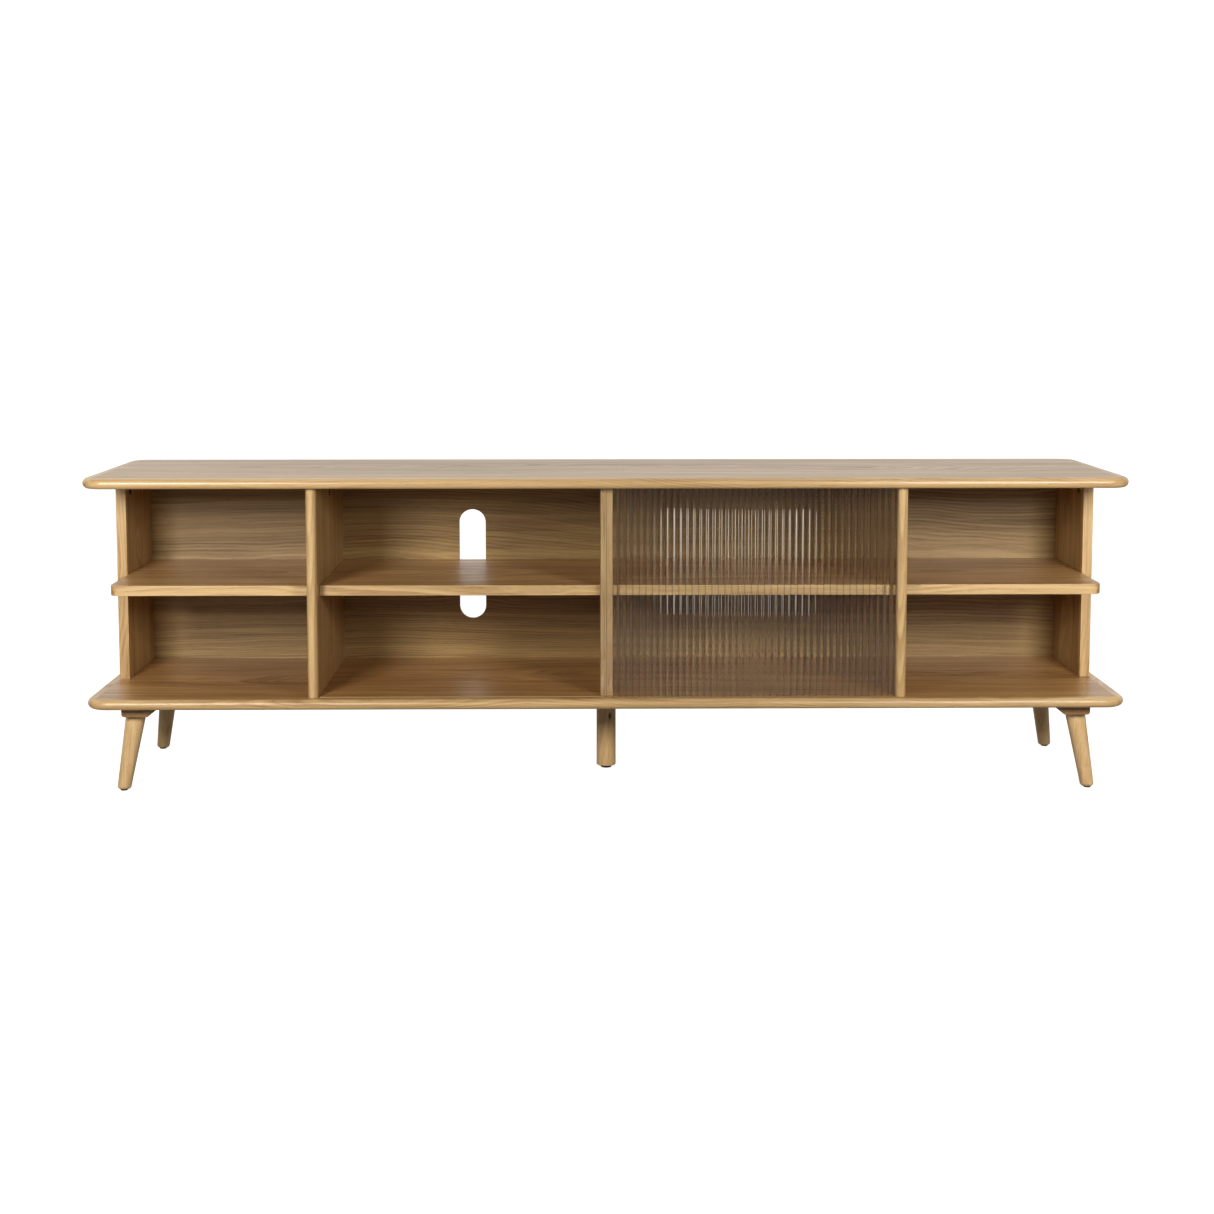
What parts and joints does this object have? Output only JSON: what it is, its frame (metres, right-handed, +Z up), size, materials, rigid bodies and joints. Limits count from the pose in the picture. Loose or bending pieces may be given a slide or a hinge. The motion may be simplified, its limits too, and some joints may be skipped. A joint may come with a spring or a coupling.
{
  "type": "low media cabinet",
  "caption": "Long low open-front oak media cabinet with shelves, a sliding ribbed-glass door, slotted back and splayed tapered legs.",
  "frame": {"origin": "middle of the footprint, on the floor under the cabinet", "axes": "+X to the right along the length, +Y towards the back, +Z up; the open front faces -Y"},
  "size_m": [1.8, 0.4, 0.55],
  "materials": {
    "veneered_oak": "matt clear-lacquered oak veneer on board",
    "solid_oak": "matt clear-lacquered solid oak",
    "ribbed_glass": "polished, vertical ribs",
    "tan_plastic": "matt, coloured to match the oak",
    "dark_plastic": "matt",
    "dark_felt": "pressed felt",
    "zinc_steel": "bright zinc plated",
    "dark_zinc": "dark plated zinc",
    "beech": "raw beech"
  },
  "bodies": {
    "cabinet": {"back_panel": "veneered_oak", "back_panel_screws": "zinc_steel", "bottom_back_lipping": "solid_oak", "bottom_front_lipping": "solid_oak", "bottom_left_lipping": "solid_oak", "bottom_panel": "veneered_oak", "bottom_right_lipping": "solid_oak", "cam_bolts": "zinc_steel", "cam_locks": "dark_zinc", "carcass_dowels": "beech", "carcass_screws": "zinc_steel", "centre_divider": "veneered_oak", "centre_leg": "solid_oak", "centre_leg_bolt": "zinc_steel", "front_left_leg": "solid_oak", "front_left_leg_block": "solid_oak", "front_left_leg_pad": "dark_felt", "front_right_leg": "solid_oak", "front_right_leg_block": "solid_oak", "front_right_leg_pad": "dark_felt", "glide_insert": "zinc_steel", "left_divider": "veneered_oak", "left_end_shelf": "veneered_oak", "left_mid_shelf": "veneered_oak", "left_side_panel": "veneered_oak", "leg_block_screws": "zinc_steel", "leg_hanger_bolts": "zinc_steel", "lower_door_track": "tan_plastic", "rear_left_leg": "solid_oak", "rear_left_leg_block": "solid_oak", "rear_left_leg_pad": "dark_felt", "rear_right_leg": "solid_oak", "rear_right_leg_block": "solid_oak", "rear_right_leg_pad": "dark_felt", "right_divider": "veneered_oak", "right_end_shelf": "veneered_oak", "right_mid_shelf": "veneered_oak", "right_side_panel": "veneered_oak", "shelf_pins": "zinc_steel", "top_back_lipping": "solid_oak", "top_front_lipping": "solid_oak", "top_left_lipping": "solid_oak", "top_panel": "veneered_oak", "top_right_lipping": "solid_oak", "upper_door_track": "tan_plastic"},
    "door": {"glass_door": "ribbed_glass"},
    "glide": {"levelling_glide": "dark_plastic"}
  },
  "joints": [
    {"name": "door_slide", "type": "slide", "parent": "cabinet", "child": "door", "axis": [1, 0, 0], "range_m": [-0.486, 0]},
    {"name": "glide_thread", "type": "slide", "parent": "cabinet", "child": "glide", "axis": [0, 0, 1], "range_m": [-0.01, 0.0008]}
  ]
}
